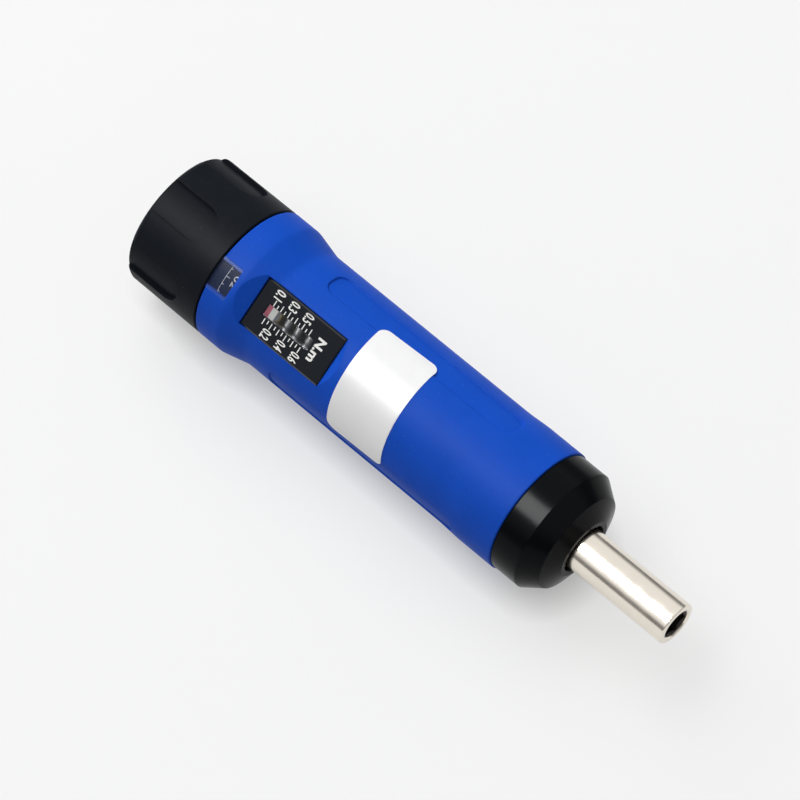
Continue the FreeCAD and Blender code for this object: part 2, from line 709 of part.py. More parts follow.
PARTS = {
    "grip_housing": grip_housing,
    "scale_plate": scale_plate,
    "scale_window": scale_window,
    "fine_scale_lens": fine_scale_lens,
    "blank_label": blank_label,
    "inner_tube": inner_tube,
    "knob_o_ring": knob_o_ring,
    "rear_plug": rear_plug,
    "rear_thrust_washer": rear_thrust_washer,
    "front_thrust_washer": front_thrust_washer,
    "spindle_bush": spindle_bush,
    "spacer_sleeve": spacer_sleeve,
    "front_bush": front_bush,
    "bush_circlip": bush_circlip,
    "nose_cap": nose_cap,
    "adjusting_knob": adjusting_knob,
    "knob_screw": knob_screw,
    "knob_lock_washer": knob_lock_washer,
    "knob_end_cap": knob_end_cap,
    "lead_screw": lead_screw,
    "fine_scale_drum": fine_scale_drum,
    "guide_pin": guide_pin,
    "spring_nut": spring_nut,
    "setting_pointer": setting_pointer,
    "main_spring": main_spring,
    "clutch_plate": clutch_plate,
    "clutch_balls": clutch_balls,
    "drive_cam": drive_cam,
    "cam_pin": cam_pin,
    "bit_holder": bit_holder,
    "bit_magnet": bit_magnet,
    "bit_clip": bit_clip,
}

os.makedirs("parts", exist_ok=True)
for part_name, make in PARTS.items():
    save(part_name, make())
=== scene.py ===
import math

import bmesh
import bpy
from mathutils import Matrix, Vector


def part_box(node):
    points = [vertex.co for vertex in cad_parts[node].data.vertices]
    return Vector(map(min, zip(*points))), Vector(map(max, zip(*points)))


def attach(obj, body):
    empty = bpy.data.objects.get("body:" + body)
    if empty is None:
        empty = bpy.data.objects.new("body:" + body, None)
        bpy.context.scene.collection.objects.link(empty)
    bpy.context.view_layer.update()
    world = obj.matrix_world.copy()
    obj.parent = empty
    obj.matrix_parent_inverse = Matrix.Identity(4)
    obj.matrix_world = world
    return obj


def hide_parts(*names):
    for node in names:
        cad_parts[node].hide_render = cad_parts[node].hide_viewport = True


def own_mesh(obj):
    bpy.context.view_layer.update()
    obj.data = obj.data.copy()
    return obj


# Preset torque screwdriver on a pale table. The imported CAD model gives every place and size. This script
# adds the finishes, the printed scales, the sticker, the coiled spring, the light and the camera. Lengths
# named _MM are in millimetres, everything handed to Blender is in metres.

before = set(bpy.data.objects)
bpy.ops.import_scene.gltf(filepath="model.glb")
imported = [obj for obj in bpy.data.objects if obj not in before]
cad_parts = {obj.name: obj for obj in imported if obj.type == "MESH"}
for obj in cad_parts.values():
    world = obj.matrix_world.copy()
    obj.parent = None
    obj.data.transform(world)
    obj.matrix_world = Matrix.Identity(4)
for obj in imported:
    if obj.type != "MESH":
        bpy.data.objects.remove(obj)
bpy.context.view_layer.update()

MM = 0.001
scene = bpy.context.scene
scene.view_settings.view_transform = "Standard"


# ---------------------------------------------------------------- camera

CAMERA_AIM = Vector((-0.0002, -0.0022, 0.0727))
CAMERA_AZIMUTH = math.radians(-14.502)
CAMERA_ELEVATION = math.radians(20.352)
CAMERA_DISTANCE = 1.1951
CAMERA_ROLL = math.radians(-129.37)
CAMERA_LENS = 234.0

back = Vector((math.sin(CAMERA_AZIMUTH) * math.cos(CAMERA_ELEVATION),
               -math.cos(CAMERA_AZIMUTH) * math.cos(CAMERA_ELEVATION),
               math.sin(CAMERA_ELEVATION)))
level_right = Vector((0, 0, 1)).cross(back).normalized()
level_up = back.cross(level_right)
view_up = level_up * math.cos(CAMERA_ROLL) + level_right * math.sin(CAMERA_ROLL)
view_right = view_up.cross(back)

camera = bpy.data.objects.new("camera", bpy.data.cameras.new("camera"))
camera.data.lens = CAMERA_LENS
camera.data.sensor_width = 36.0
camera.data.clip_end = 20.0
camera.matrix_world = Matrix.Translation(CAMERA_AIM + back * CAMERA_DISTANCE) @ Matrix(
    (view_right, view_up, back)).transposed().to_4x4()
scene.collection.objects.link(camera)
scene.camera = camera


# ---------------------------------------------------------------- node helpers

class Finish:
    """A material under construction: one Principled shader and the nodes that feed it."""

    def __init__(self, name, colour, roughness, metallic=0.0, **sockets):
        self.material = bpy.data.materials.new(name)
        self.material.use_nodes = True
        self.nodes = self.material.node_tree.nodes
        self.links = self.material.node_tree.links
        self.shader = self.nodes["Principled BSDF"]
        self.shader.inputs["Base Color"].default_value = (*colour, 1)
        self.shader.inputs["Roughness"].default_value = roughness
        self.shader.inputs["Metallic"].default_value = metallic
        for socket, value in sockets.items():
            self.shader.inputs[socket.replace("_", " ")].default_value = value
        self.place = self.nodes.new("ShaderNodeTexCoord").outputs["Object"]

    def feed(self, socket, source):
        if isinstance(source, bpy.types.NodeSocket):
            self.links.new(source, socket)
        else:
            socket.default_value = source

    def math(self, operation, *values):
        node = self.nodes.new("ShaderNodeMath")
        node.operation = operation
        for socket, value in zip(node.inputs, values):
            self.feed(socket, value)
        return node.outputs[0]

    def split(self, vector):
        node = self.nodes.new("ShaderNodeSeparateXYZ")
        self.feed(node.inputs[0], vector)
        return node.outputs

    def axis_height(self):
        return self.split(self.place)[2]

    def axis_radius(self):
        x, y, _ = self.split(self.place)
        squares = [self.math("MULTIPLY", side, side) for side in (x, y)]
        return self.math("SQRT", self.math("ADD", *squares))

    def noise(self, size_mm, detail=2.0, stretch=(1, 1, 1), roughness=0.5):
        """Noise whose features are about size_mm across, from 0 to 1."""
        mapping = self.nodes.new("ShaderNodeMapping")
        mapping.inputs["Scale"].default_value = [s / (size_mm * MM) for s in stretch]
        self.links.new(self.place, mapping.inputs["Vector"])
        node = self.nodes.new("ShaderNodeTexNoise")
        node.inputs["Scale"].default_value = 1.0
        node.inputs["Detail"].default_value = detail
        node.inputs["Roughness"].default_value = roughness
        self.links.new(mapping.outputs["Vector"], node.inputs["Vector"])
        return node.outputs["Fac"]

    def lines(self, position, pitch_mm, detail=2.0):
        """Noise along one measure only, such as the lines that turning leaves."""
        node = self.nodes.new("ShaderNodeTexNoise")
        node.noise_dimensions = "1D"
        node.inputs["Scale"].default_value = 1.0 / (pitch_mm * MM)
        node.inputs["Detail"].default_value = detail
        self.links.new(position, node.inputs["W"])
        return node.outputs["Fac"]

    def spots(self, size_mm, share, soft=0.03):
        """Sparse round specks: 1 on a speck, 0 elsewhere."""
        mapping = self.nodes.new("ShaderNodeMapping")
        mapping.inputs["Scale"].default_value = [1.0 / (size_mm * MM)] * 3
        self.links.new(self.place, mapping.inputs["Vector"])
        node = self.nodes.new("ShaderNodeTexVoronoi")
        node.inputs["Scale"].default_value = 1.0
        self.links.new(mapping.outputs["Vector"], node.inputs["Vector"])
        near = self.range(node.outputs["Distance"], 0.16 + soft, 0.16, 0.0, 1.0)
        chosen = self.range(self.split(node.outputs["Color"])[0], 1.0 - share, 1.0 - share * 0.9, 0.0, 1.0)
        return self.math("MULTIPLY", near, chosen)

    def range(self, value, from_low, from_high, to_low, to_high):
        node = self.nodes.new("ShaderNodeMapRange")
        for socket, number in zip(list(node.inputs)[1:5], (from_low, from_high, to_low, to_high)):
            socket.default_value = number
        self.feed(node.inputs[0], value)
        return node.outputs[0]

    def blend(self, factor, low, high):
        """A colour between two colours."""
        node = self.nodes.new("ShaderNodeMix")
        node.data_type = "RGBA"
        self.feed(node.inputs["Factor"], factor)
        for socket, colour in ((node.inputs["A"], low), (node.inputs["B"], high)):
            self.feed(socket, colour if isinstance(colour, bpy.types.NodeSocket) else (*colour, 1))
        return node.outputs["Result"]

    def colour(self, source):
        self.feed(self.shader.inputs["Base Color"], source)
        return self

    def roughness(self, source):
        self.feed(self.shader.inputs["Roughness"], source)
        return self

    def relief(self, *layers, edge_mm=0.0):
        """Surface relief from (height from 0 to 1, depth in mm) layers over edges softened to edge_mm."""
        normal = None
        if edge_mm:
            bevel = self.nodes.new("ShaderNodeBevel")
            bevel.samples = 6
            bevel.inputs["Radius"].default_value = edge_mm * MM
            normal = bevel.outputs["Normal"]
        for height, depth_mm in layers:
            bump = self.nodes.new("ShaderNodeBump")
            bump.inputs["Strength"].default_value = 1.0
            bump.inputs["Distance"].default_value = depth_mm * MM
            self.links.new(height, bump.inputs["Height"])
            if normal is not None:
                self.links.new(normal, bump.inputs["Normal"])
            normal = bump.outputs["Normal"]
        if normal is not None:
            self.links.new(normal, self.shader.inputs["Normal"])
        return self


# ---------------------------------------------------------------- finishes

def blue_nylon():
    look = Finish("blue_nylon", (0.007, 0.072, 0.50), 0.48, Specular_IOR_Level=0.04)
    cloud = look.noise(7.0, 3.0)
    grain = look.noise(0.22, 3.0)
    base = look.blend(cloud, (0.005, 0.066, 0.465), (0.009, 0.080, 0.540))
    base = look.blend(look.spots(0.55, 0.07), base, (0.06, 0.15, 0.58))
    look.colour(base)
    look.roughness(look.range(grain, 0.3, 0.7, 0.42, 0.54))
    return look.relief((grain, 0.010), (look.noise(2.5), 0.006), edge_mm=0.45).material


def black_nylon():
    look = Finish("black_nylon", (0.006, 0.008, 0.012), 0.46, Specular_IOR_Level=0.045)
    cloud = look.noise(5.0, 3.0)
    grain = look.noise(0.2, 3.0)
    base = look.blend(cloud, (0.005, 0.0065, 0.0095), (0.008, 0.010, 0.014))
    look.colour(look.blend(look.spots(0.6, 0.02), base, (0.05, 0.05, 0.05)))
    look.roughness(look.range(grain, 0.3, 0.7, 0.40, 0.52))
    return look.relief((grain, 0.012), edge_mm=0.08).material


def black_anodised():
    look = Finish("black_anodised", (0.0015, 0.002, 0.003), 0.21, Specular_IOR_Level=0.06)
    along = look.math("ADD", look.axis_height(), look.axis_radius())
    fine = look.lines(along, 0.06)
    coarse = look.lines(along, 0.5)
    look.colour(look.blend(coarse, (0.001, 0.0015, 0.0025), (0.002, 0.0025, 0.0035)))
    look.roughness(look.range(fine, 0.3, 0.7, 0.18, 0.26))
    return look.relief((fine, 0.0006), (coarse, 0.0008), edge_mm=0.14).material


SOCKET_SHADE_RADIUS_MM = 3.8


def nickel():
    """Bright nickel plate; the inside of the bit socket is painted dark, a painted shade for the depth of the
    socket.
    """
    look = Finish("nickel", (0.79, 0.73, 0.64), 0.18, metallic=1.0)
    along = look.math("ADD", look.axis_height(), look.axis_radius())
    fine = look.lines(along, 0.05)
    cloud = look.noise(3.0, 3.0)
    # Painted shade: inside the socket's radius the plate's colour turns nearly black and rougher, standing in
    # for the shade deep in the socket.
    edge = (SOCKET_SHADE_RADIUS_MM + 0.05, SOCKET_SHADE_RADIUS_MM - 0.05)
    socket = look.range(look.axis_radius(), edge[0] * MM, edge[1] * MM, 0.0, 1.0)
    plated = look.blend(cloud, (0.76, 0.705, 0.62), (0.82, 0.76, 0.67))
    look.colour(look.blend(socket, plated, (0.05, 0.045, 0.04)))
    matt = look.math("MULTIPLY", socket, 0.2)
    look.roughness(look.math("ADD", look.range(cloud, 0.3, 0.7, 0.15, 0.22), matt))
    return look.relief((fine, 0.0006), edge_mm=0.12).material


def plate_black():
    """Black anodised plate with a polished bevel round its face."""
    look = Finish("plate_black", (0.005, 0.007, 0.010), 0.42, Specular_IOR_Level=0.05)
    geometry = look.nodes.new("ShaderNodeNewGeometry")
    facing = look.math("ABSOLUTE", look.split(geometry.outputs["True Normal"])[1])
    beyond_sides = look.range(facing, 0.5, 0.55, 0.0, 1.0)
    beyond_face = look.range(facing, 0.95, 0.9, 0.0, 1.0)
    rim = look.math("MULTIPLY", beyond_sides, beyond_face)
    brushed = look.noise(0.25, 2.0, stretch=(1, 1, 0.05))
    black = look.blend(brushed, (0.004, 0.006, 0.009), (0.007, 0.009, 0.013))
    look.colour(look.blend(rim, black, (0.05, 0.052, 0.055)))
    look.feed(look.shader.inputs["Metallic"], rim)
    matt = look.range(brushed, 0.3, 0.7, 0.33, 0.45)
    look.roughness(look.math("SUBTRACT", matt, look.math("MULTIPLY", rim, 0.15)))
    return look.relief((brushed, 0.002)).material


LENS_EDGE_MM = 0.8
LENS_EDGE_PAINTED_REFLECTION = (0.07, 0.15, 0.55)
LENS_EDGE_DENSITY = 0.5


def clear_acrylic(name, haze, density, node=None):
    """Thin clear plastic whose haze hides what lies behind it by the density given.

    Where a node is named, its two sides are painted the blue of the housing, a painted reflection of the
    housing that they face.
    """
    look = Finish(name, haze, 0.26, IOR=1.49, Alpha=density, Specular_IOR_Level=0.10)
    cloud = look.noise(1.6, 3.0)
    inside = look.blend(cloud, tuple(c * 0.8 for c in haze), tuple(c * 1.2 for c in haze))
    look.colour(inside)
    if node:
        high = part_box(node)[1]
        aside = look.math("ABSOLUTE", look.split(look.place)[0])
        # Painted reflection: strips along both sides of the lens take the housing's blue and hide more of
        # what lies behind.
        start = high[0] - LENS_EDGE_MM * MM
        side = look.range(aside, start, start + 0.1 * MM, 0.0, 1.0)
        look.colour(look.blend(side, inside, LENS_EDGE_PAINTED_REFLECTION))
        look.feed(look.shader.inputs["Alpha"], look.range(side, 0.0, 1.0, density, LENS_EDGE_DENSITY))
    look.roughness(look.range(cloud, 0.3, 0.7, 0.22, 0.30))
    return look.relief((cloud, 0.001)).material


def label_film():
    look = Finish("label_film", (0.85, 0.85, 0.855), 0.34)
    cloud = look.noise(4.0, 3.0)
    fibre = look.noise(0.35, 2.0)
    look.colour(look.blend(cloud, (0.83, 0.83, 0.84), (0.87, 0.87, 0.87)))
    look.roughness(look.range(fibre, 0.3, 0.7, 0.28, 0.42))
    return look.relief((fibre, 0.003), (cloud, 0.012)).material


def white_print():
    look = Finish("white_print", (0.78, 0.78, 0.76), 0.55)
    wear = look.noise(0.3, 2.0)
    look.colour(look.blend(wear, (0.70, 0.70, 0.68), (0.84, 0.84, 0.82)))
    return look.relief((wear, 0.002)).material


POINTER_RED_MM = 2.93


def pointer_paint():
    """White moulded pointer whose rear part is painted red."""
    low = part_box("setting_pointer")[0]
    look = Finish("pointer_paint", (0.95, 0.94, 0.89), 0.35)
    edge = low[2] + POINTER_RED_MM * MM
    red = look.range(look.axis_height(), edge + 0.03 * MM, edge - 0.03 * MM, 0.0, 1.0)
    cloud = look.noise(1.0)
    white = look.blend(cloud, (0.93, 0.92, 0.87), (0.97, 0.96, 0.91))
    look.colour(look.blend(red, white, look.blend(cloud, (0.60, 0.03, 0.10), (0.68, 0.04, 0.13))))
    return look.relief((cloud, 0.004)).material


def steel(name, colour, roughness, turned=True):
    look = Finish(name, colour, roughness, metallic=1.0)
    if turned:
        mark = look.lines(look.math("ADD", look.axis_height(), look.axis_radius()), 0.09)
    else:
        mark = look.noise(0.4, 3.0)
    cloud = look.noise(4.0, 3.0)
    look.colour(look.blend(cloud, tuple(c * 0.9 for c in colour), tuple(min(1, c * 1.08) for c in colour)))
    look.roughness(look.range(mark, 0.3, 0.7, roughness * 0.8, roughness * 1.25))
    return look.relief((mark, 0.0015), edge_mm=0.1).material


LEAD_MM = 1.125
THREAD_LENGTH_MM = 31.5
THREAD_DEPTH_MM = 0.5


def threaded_steel():
    """Turned steel with a helical thread of the screw's own lead on its outside."""
    look = Finish("threaded_steel", (0.60, 0.60, 0.61), 0.28, metallic=1.0)
    x, y, z = look.split(look.place)
    turn = look.math("DIVIDE", look.math("ARCTAN2", y, x), 2 * math.pi)
    phase = look.math("SUBTRACT", look.math("DIVIDE", z, LEAD_MM * MM), turn)
    thread = look.math("PINGPONG", phase, 0.5)
    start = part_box("lead_screw")[1][2] - THREAD_LENGTH_MM * MM
    cut = look.range(z, start, start + 0.1 * MM, 0.0, 2.0)
    look.colour(look.blend(look.noise(2.0, 3.0), (0.54, 0.54, 0.55), (0.66, 0.66, 0.67)))
    look.roughness(look.range(look.noise(0.5), 0.3, 0.7, 0.22, 0.36))
    height = look.math("MULTIPLY", thread, cut)
    return look.relief((height, THREAD_DEPTH_MM), edge_mm=0.1).material


def rubber():
    look = Finish("rubber", (0.012, 0.012, 0.012), 0.65)
    grain = look.noise(0.3, 3.0)
    look.colour(look.blend(grain, (0.009, 0.009, 0.009), (0.018, 0.018, 0.018)))
    look.roughness(look.range(grain, 0.3, 0.7, 0.55, 0.75))
    return look.relief((grain, 0.01)).material


def drum_black():
    look = Finish("drum_black", (0.016, 0.017, 0.020), 0.40, Specular_IOR_Level=0.03)
    grain = look.noise(0.3, 3.0)
    look.colour(look.blend(grain, (0.013, 0.014, 0.017), (0.020, 0.021, 0.025)))
    look.roughness(look.range(grain, 0.3, 0.7, 0.34, 0.46))
    return look.relief((grain, 0.001), edge_mm=0.1).material


STEEL = steel("ground_steel", (0.62, 0.62, 0.64), 0.26)
SPRING_STEEL = steel("spring_steel", (0.24, 0.24, 0.25), 0.50, turned=False)
ALUMINIUM = steel("tube_aluminium", (0.72, 0.72, 0.74), 0.30)
BRONZE = steel("sintered_bronze", (0.60, 0.40, 0.20), 0.42, turned=False)
BRASS = steel("turned_brass", (0.46, 0.34, 0.16), 0.40)
BLACK_NYLON = black_nylon()
PRINT = white_print()

FINISHES = {
    "grip_housing": blue_nylon(),
    "scale_plate": plate_black(),
    "scale_window": clear_acrylic("window_acrylic", (0.14, 0.16, 0.17), 0.06),
    # The lens's haze is tinted blue as a painted reflection of the blue housing round it.
    "fine_scale_lens": clear_acrylic("lens_acrylic", (0.10, 0.15, 0.36), 0.08, node="fine_scale_lens"),
    "inner_tube": ALUMINIUM,
    "knob_o_ring": rubber(),
    "rear_plug": STEEL,
    "rear_thrust_washer": BRONZE,
    "front_thrust_washer": BRONZE,
    "spindle_bush": BRONZE,
    "spacer_sleeve": ALUMINIUM,
    "front_bush": BRONZE,
    "bush_circlip": SPRING_STEEL,
    "nose_cap": black_anodised(),
    "adjusting_knob": BLACK_NYLON,
    "knob_end_cap": BLACK_NYLON,
    "fine_scale_drum": drum_black(),
    "lead_screw": threaded_steel(),
    "knob_screw": STEEL,
    "knob_lock_washer": SPRING_STEEL,
    "spring_nut": BRASS,
    "setting_pointer": pointer_paint(),
    "guide_pin": STEEL,
    "clutch_plate": STEEL,
    "clutch_balls": STEEL,
    "drive_cam": STEEL,
    "cam_pin": STEEL,
    "bit_holder": nickel(),
    "bit_magnet": STEEL,
    "bit_clip": SPRING_STEEL,
}


def wear(obj, material):
    obj.data.materials.clear()
    obj.data.materials.append(material)


for node, material in FINISHES.items():
    wear(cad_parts[node], material)
# The pointer behind the scale is lit as if the plate and the window let all light through.
for node in ("scale_window", "scale_plate"):
    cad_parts[node].visible_shadow = False


# ---------------------------------------------------------------- pieces

def add_piece(name, bm, material, body, smooth=False):
    """Turns a bmesh into a piece that rides on a CAD body."""
    bmesh.ops.recalc_face_normals(bm, faces=bm.faces)
    mesh = bpy.data.meshes.new(name)
    bm.to_mesh(mesh)
    bm.free()
    for polygon in mesh.polygons:
        polygon.use_smooth = smooth
    piece = bpy.data.objects.new(name, mesh)
    scene.collection.objects.link(piece)
    wear(piece, material)
    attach(piece, body)
    return piece


def glyphs(text, width, height, depth, weight=0.0):
    """Text as a thin solid mesh width x height, centred on the origin: reads along +X, upright in +Y."""
    curve = bpy.data.curves.new("lettering", "FONT")
    curve.body = text
    curve.resolution_u = 4
    curve.extrude = 0.5
    curve.offset = weight
    holder = bpy.data.objects.new("lettering", curve)
    scene.collection.objects.link(holder)
    bpy.context.view_layer.update()
    mesh = bpy.data.meshes.new_from_object(holder)
    bpy.data.objects.remove(holder)
    bpy.data.curves.remove(curve)
    corners = [[v.co[k] for v in mesh.vertices] for k in range(3)]
    low = Vector(min(c) for c in corners)
    high = Vector(max(c) for c in corners)
    size = high - low
    mesh.transform(Matrix.Translation(-(low + high) / 2))
    mesh.transform(Matrix.Diagonal((width / size.x, height / size.y, depth / size.z, 1)))
    return mesh


def add_mesh(bm, mesh):
    bm.from_mesh(mesh)
    bpy.data.meshes.remove(mesh)


def add_bar(bm, x, z, y):
    """A thin box from three (low, high) pairs."""
    place = Matrix.Translation((sum(x) / 2, sum(y) / 2, sum(z) / 2))
    size = Matrix.Diagonal((x[1] - x[0], y[1] - y[0], z[1] - z[0], 1))
    bmesh.ops.create_cube(bm, size=1.0, matrix=place @ size)


UPRIGHT = Matrix.Rotation(math.radians(90), 4, "X")
INK_MM = 0.02
MARK_STEP_MM = 2.25
FIRST_MARK_MM = 4.8
MARK_STROKE_MM = 0.24
MARK_INNER_MM = 1.7
MARK_LONG_MM = 3.25
MARK_SHORT_MM = 2.62
FIGURE_CENTRE_MM = 4.68
FIGURE_SIZE_MM = (2.33, 2.6)
UNIT_SIZE_MM = (6.1, 2.5)
UNIT_FROM_REAR_MM = 19.75


def scale_print():
    """Torque marks from 0.1 to 0.6 on both sides of the window, their figures and the unit."""
    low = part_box("scale_plate")[0]
    face = low[1]
    bm = bmesh.new()
    skin = (face - INK_MM * MM, face + INK_MM * MM)
    for half_step in range(11):
        z = low[2] + (FIRST_MARK_MM + MARK_STEP_MM * half_step / 2) * MM
        long_mark = half_step % 2 == 0
        reach = MARK_LONG_MM if long_mark else MARK_SHORT_MM
        stroke = (z - MARK_STROKE_MM / 2 * MM, z + MARK_STROKE_MM / 2 * MM)
        for side in (-1, 1):
            add_bar(bm, sorted((side * MARK_INNER_MM * MM, side * reach * MM)), stroke, skin)
        if long_mark:
            tenths = 1 + half_step // 2
            side = -1 if tenths % 2 else 1
            width, height = FIGURE_SIZE_MM
            figure = glyphs("0.%d" % tenths, width * MM, height * MM, 2 * INK_MM * MM, weight=0.02)
            figure.transform(Matrix.Translation((side * FIGURE_CENTRE_MM * MM, face, z)) @ UPRIGHT)
            add_mesh(bm, figure)
    width, height = UNIT_SIZE_MM
    unit = glyphs("N.m", width * MM, height * MM, 2 * INK_MM * MM, weight=0.035)
    unit.transform(Matrix.Translation((0, face, low[2] + UNIT_FROM_REAR_MM * MM)) @ UPRIGHT)
    add_mesh(bm, unit)
    return add_piece("scale_print", bm, PRINT, "handle")


DRUM_FIGURES = 5
DRUM_FIRST_DEG = 142.0
DRUM_STEP_DEG = 72.0
DRUM_MARKS = 10
DRUM_INK_MM = 0.03
DRUM_FIGURE_SIZE_MM = (3.0, 1.35)
DRUM_FIGURE_FROM_FRONT_MM = 0.95
DRUM_LINE_FROM_REAR_MM = 2.6
DRUM_LINE_PARTS = 240
DRUM_STROKE_MM = 0.12
DRUM_LONG_MM = 1.1
DRUM_SHORT_MM = 0.55


def drum_print():
    """Fine scale on the drum: a line round it, five figures and the marks between them.

    It is laid out flat, X being the arc round the drum, and then bent round it.
    """
    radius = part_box("fine_scale_drum")[1][0]
    rear, front = (corner[2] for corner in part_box("fine_scale_lens"))
    flat = bmesh.new()
    ink = (-INK_MM * MM, INK_MM * MM)
    half_stroke = DRUM_STROKE_MM / 2 * MM
    line = rear + DRUM_LINE_FROM_REAR_MM * MM
    for k in range(DRUM_LINE_PARTS):
        x = [2 * math.pi * radius * (k + step) / DRUM_LINE_PARTS for step in (0, 1)]
        add_bar(flat, x, (line - half_stroke, line + half_stroke), ink)
    for k in range(DRUM_FIGURES):
        turn = math.radians(DRUM_FIRST_DEG - DRUM_STEP_DEG * k)
        width, height = DRUM_FIGURE_SIZE_MM
        figure = glyphs("%02d" % k, width * MM, height * MM, 2 * INK_MM * MM)
        place = Matrix.Translation((turn * radius, 0, front - DRUM_FIGURE_FROM_FRONT_MM * MM))
        figure.transform(place @ UPRIGHT)
        add_mesh(flat, figure)
        for mark in range(DRUM_MARKS):
            x = (turn + math.radians(DRUM_STEP_DEG / DRUM_MARKS * mark)) * radius
            tall = DRUM_SHORT_MM if mark else DRUM_LONG_MM
            add_bar(flat, (x - half_stroke, x + half_stroke), (line, line + tall * MM), ink)
    for v in flat.verts:
        turn, out = v.co.x / radius, radius - v.co.y + DRUM_INK_MM * MM
        v.co = Vector((out * math.sin(turn), -out * math.cos(turn), v.co.z))
    return add_piece("drum_print", flat, PRINT, "knob")


LABEL_TILT = math.radians(3.0)
LABEL_SHIFT_MM = 1.6
LABEL_CORNER_MM = 2.2
FLUTE_AZIMUTH = math.radians(60)
FLUTE_HALF = math.radians(13.4)


def label_sticker():
    """The blank sticker: rounded corners, slightly askew, its two ends pressed into the flutes beside it."""
    low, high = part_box("blank_label")
    outer = -low[1]
    middle = (low[2] + high[2]) / 2 + LABEL_SHIFT_MM * MM
    half_height = (high[2] - low[2]) / 2
    half_angle = math.asin(high[0] / outer)
    half_width = half_angle * outer
    corner = LABEL_CORNER_MM * MM
    columns, rows = 96, 8
    bm = bmesh.new()

    def point(u, v, out):
        turned_u = u * math.cos(LABEL_TILT) - v * math.sin(LABEL_TILT)
        turned_v = u * math.sin(LABEL_TILT) + v * math.cos(LABEL_TILT)
        angle = turned_u / outer
        into_flute = (abs(angle) - (FLUTE_AZIMUTH - FLUTE_HALF)) / FLUTE_HALF
        sink = 0.26 * MM * min(1.0, max(0.0, into_flute * 1.5)) ** 0.8
        radius = out - sink
        return Vector((radius * math.sin(angle), -radius * math.cos(angle), middle + turned_v))

    layers = []
    for out in (outer - 0.10 * MM, outer):
        grid = []
        for i in range(columns + 1):
            u = half_width * math.sin(math.pi * (i / columns - 0.5))
            over = max(0.0, abs(u) - (half_width - corner))
            top = half_height - corner + math.sqrt(max(0.0, corner ** 2 - over ** 2))
            grid.append([bm.verts.new(point(u, top * (2 * j / rows - 1), out)) for j in range(rows + 1)])
        layers.append(grid)
    for grid in layers:
        for i in range(columns):
            for j in range(rows):
                bm.faces.new((grid[i][j], grid[i + 1][j], grid[i + 1][j + 1], grid[i][j + 1]))
    inner, outside = layers
    for i in range(columns):
        for j in (0, rows):
            bm.faces.new((inner[i][j], inner[i + 1][j], outside[i + 1][j], outside[i][j]))
    for i in (0, columns):
        for j in range(rows):
            bm.faces.new((inner[i][j], inner[i][j + 1], outside[i][j + 1], outside[i][j]))
    piece = add_piece("label_sticker", bm, label_film(), "handle", smooth=True)
    piece.data.set_sharp_from_angle(angle=math.radians(35))
    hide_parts("blank_label")
    return piece


SPRING_PITCH_MM = 3.5
CLOSED_PITCH_MM = 2.05
WIRE_RADIUS_MM = 1.0
WIRE_SIDES = 12
STEPS_PER_TURN = 40
ROOM_FOR_LIFT_MM = 0.62


def spring_coil():
    """The main spring: round wire, one closed turn at each end, both ends ground flat.

    Its front end leaves room for the lift of the clutch plate.
    """
    low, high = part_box("main_spring")
    high = (high[0], high[1], high[2] - ROOM_FOR_LIFT_MM * MM)
    wire = WIRE_RADIUS_MM * MM
    mean = high[0] - wire
    active = ((high[2] - low[2]) - 2 * CLOSED_PITCH_MM * MM) / (SPRING_PITCH_MM * MM)
    turns = active + 2
    bm = bmesh.new()
    rings = []
    steps = int(turns * STEPS_PER_TURN)
    height = low[2] + wire * 0.2
    last = 0.0
    heights = []
    for i in range(steps + 1):
        turn = turns * i / steps
        from_end = min(turn, turns - turn)
        opened = min(1.0, max(0.0, from_end - 0.7) / 0.6)
        pitch = CLOSED_PITCH_MM + (SPRING_PITCH_MM - CLOSED_PITCH_MM) * opened
        height += (turn - last) * pitch * MM
        last = turn
        heights.append(height)
    stretch = (high[2] - low[2] - 0.4 * wire) / (heights[-1] - heights[0])
    for i, raw in enumerate(heights):
        angle = 2 * math.pi * turns * i / steps
        z = low[2] + 0.2 * wire + (raw - heights[0]) * stretch
        ring = []
        for k in range(WIRE_SIDES):
            side = 2 * math.pi * k / WIRE_SIDES
            radius = mean + wire * math.cos(side)
            top = min(high[2], max(low[2], z + wire * math.sin(side)))
            ring.append(bm.verts.new((radius * math.cos(angle), radius * math.sin(angle), top)))
        rings.append(ring)
    for first, second in zip(rings, rings[1:]):
        for k in range(WIRE_SIDES):
            bm.faces.new((first[k], first[(k + 1) % WIRE_SIDES], second[(k + 1) % WIRE_SIDES], second[k]))
    bm.faces.new(rings[0])
    bm.faces.new(rings[-1])
    piece = add_piece("spring_coil", bm, SPRING_STEEL, "handle", smooth=True)
    piece.data.set_sharp_from_angle(angle=math.radians(50))
    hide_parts("main_spring")
    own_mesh(piece)
    return piece


scale_print()
drum_print()
label_sticker()
spring_coil()


# ---------------------------------------------------------------- table, sky and light

TABLE_NORMAL = Vector((-0.606, -0.7955, 0.0)).normalized()
TABLE_REAR = (25.0, 17.9)       # height along the tool and distance from its axis, in mm
TABLE_FRONT = (115.0, 16.4)
TABLE_GLOW = 0.62
TABLE_GLOW_IN_PAINTED_SHADOW = 0.24
TABLE_PAINTED_SHADOW_MM = 8.5
TABLE_SIZE = 3.0


